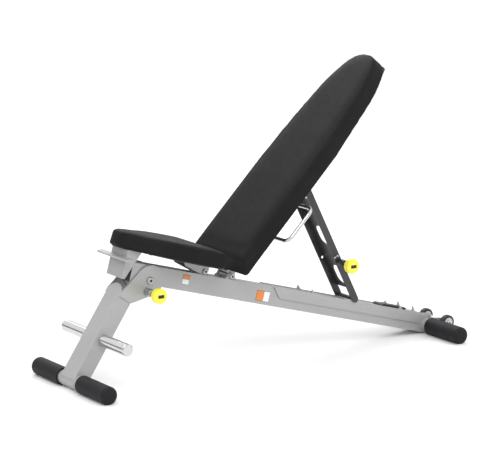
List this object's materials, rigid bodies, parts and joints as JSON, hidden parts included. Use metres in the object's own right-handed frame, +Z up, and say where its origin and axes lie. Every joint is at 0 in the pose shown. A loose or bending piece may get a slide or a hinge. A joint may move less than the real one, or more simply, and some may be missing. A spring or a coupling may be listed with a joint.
{
  "type": "adjustable weight bench",
  "caption": "Folding adjustable weight bench: padded seat and tapered backrest on a sloping rail, a prop on toothed racks, a pinned front leg with a foot-hold bar, and transport wheels.",
  "frame": {"origin": "on the floor, at the centre of the footprint", "axes": "+X runs from the front foot to the wheels, +Y to the bench's left, +Z up"},
  "size_m": [1.5134, 0.468, 0.9909],
  "materials": {
    "vinyl": "satin grained vinyl",
    "board": "black-stained plywood",
    "rubber": "matte",
    "tyre": "matte",
    "hub_plastic": "matte",
    "yellow_plastic": "gloss",
    "chrome": "polished",
    "black_plastic": "matte",
    "zinc": "zinc plated",
    "silver_paint": "satin silver-grey powder coat",
    "charcoal_paint": "satin charcoal powder coat"
  },
  "bodies": {
    "frame": {"main_rail": "silver_paint", "rail_front_plug": "black_plastic", "leg_pivot_bushing": "black_plastic", "leg_lug_left": "silver_paint", "leg_lug_right": "silver_paint", "rack_left": "silver_paint", "rack_right": "silver_paint", "rack_pad": "black_plastic", "seat_lug_left": "silver_paint", "seat_lug_right": "silver_paint", "back_lug_left": "silver_paint", "back_lug_right": "silver_paint", "seat_pivot_bolt": "zinc", "back_pivot_bolt": "zinc", "rear_foot_tube": "silver_paint", "rear_foot_sleeve_left": "rubber", "rear_foot_sleeve_right": "rubber", "wheel_lug_left": "silver_paint", "wheel_lug_right": "silver_paint", "wheel_axle": "chrome"},
    "front_leg": {"front_foot_tube": "silver_paint", "front_foot_sleeve_left": "rubber", "front_foot_sleeve_right": "rubber", "leg_tube": "silver_paint", "leg_top_cap": "silver_paint", "yoke_plate_left": "silver_paint", "yoke_plate_right": "silver_paint", "leg_pivot_bolt": "zinc", "foot_hold_bar": "chrome", "foot_hold_cap_left": "chrome", "foot_hold_cap_right": "chrome", "leg_pin_barrel": "zinc"},
    "leg_pin": {"leg_pin_plunger": "chrome", "leg_pin_knob": "yellow_plastic"},
    "backrest": {"back_pad": "vinyl", "back_board": "board", "back_spine": "silver_paint", "back_hinge_tube": "silver_paint", "back_handle": "chrome", "prop_pivot_bolt": "zinc", "prop_spacer_left": "zinc", "prop_spacer_right": "zinc"},
    "prop": {"prop_channel": "charcoal_paint", "prop_foot_bar": "charcoal_paint", "prop_pin_barrel": "black_plastic"},
    "prop_pin": {"prop_pin_plunger": "chrome", "prop_pin_knob": "yellow_plastic"},
    "seat": {"seat_pad": "vinyl", "seat_board": "board", "seat_nose_bracket": "silver_paint", "seat_lift_handle": "silver_paint", "seat_hinge_plate_left": "silver_paint", "seat_hinge_plate_right": "silver_paint"},
    "wheel_left": {"wheel_tyre_left": "tyre", "wheel_hub_left": "hub_plastic"},
    "wheel_right": {"wheel_tyre_right": "tyre", "wheel_hub_right": "hub_plastic"}
  },
  "joints": [
    {"name": "front_leg_fold", "type": "hinge", "parent": "frame", "child": "front_leg", "pos_m": [-0.46655, 0, 0.32989], "axis": [0, -1, 0], "range_deg": [0, 107]},
    {"name": "leg_pin_pull", "type": "slide", "parent": "front_leg", "child": "leg_pin", "axis": [0, -1, 0], "range_m": [0, 0.01], "stiffness_N_per_m": 400},
    {"name": "backrest_tilt", "type": "hinge", "parent": "frame", "child": "backrest", "pos_m": [-0.14729, 0, 0.30201], "axis": [0, -1, 0], "range_deg": [0, 34]},
    {"name": "prop_swing", "type": "hinge", "parent": "backrest", "child": "prop", "pos_m": [0.12852, 0, 0.59237], "axis": [0, 1, 0], "range_deg": [0, 42]},
    {"name": "prop_pin_pull", "type": "slide", "parent": "prop", "child": "prop_pin", "axis": [0, -1, 0], "range_m": [0, 0.01], "stiffness_N_per_m": 400},
    {"name": "seat_tilt", "type": "hinge", "parent": "frame", "child": "seat", "pos_m": [-0.25131, 0, 0.33105], "axis": [0, 1, 0], "range_deg": [0, 15]},
    {"name": "wheel_left_spin", "type": "hinge", "parent": "frame", "child": "wheel_left", "pos_m": [0.73125, 0, 0.0331], "axis": [0, 1, 0], "continuous": true},
    {"name": "wheel_right_spin", "type": "hinge", "parent": "frame", "child": "wheel_right", "pos_m": [0.73125, 0, 0.0331], "axis": [0, 1, 0], "continuous": true}
  ],
  "couplings": [
    {"joint": "prop_swing", "follows": "backrest_tilt", "ratio": 1.2}
  ]
}
